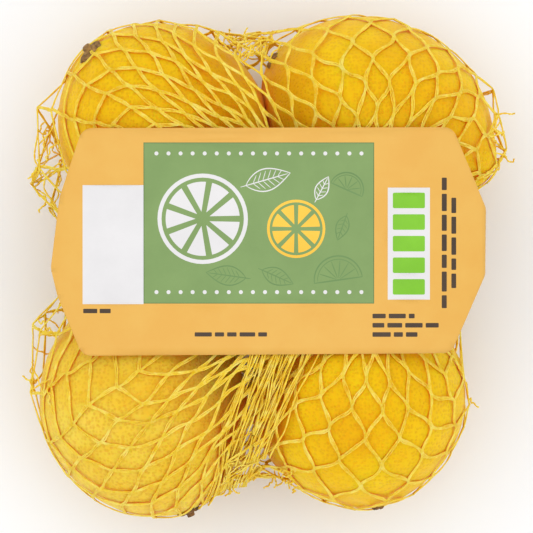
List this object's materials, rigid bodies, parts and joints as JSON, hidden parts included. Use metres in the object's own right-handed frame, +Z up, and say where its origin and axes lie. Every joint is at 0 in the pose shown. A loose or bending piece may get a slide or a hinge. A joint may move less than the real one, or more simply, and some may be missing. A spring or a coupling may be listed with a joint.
{
  "type": "net of lemons",
  "caption": "Lemons held tight in a yellow diamond net, with a wide printed film label across the front, lying on its back.",
  "frame": {"origin": "on the floor under the middle of the pack's bounding box, with the pack lying on its back", "axes": "+Z up, out of the printed face of the label; +Y towards the top of the label's print; +X to the right of the print; Z is the pack's thickness"},
  "size_m": [0.1439, 0.1513, 0.0658],
  "materials": {
    "net": "yellow knotless net over lemons, satin",
    "film": "printed orange film, smooth"
  },
  "bodies": {
    "root": {"filled_net": "net", "label": "film"}
  },
  "joints": []
}
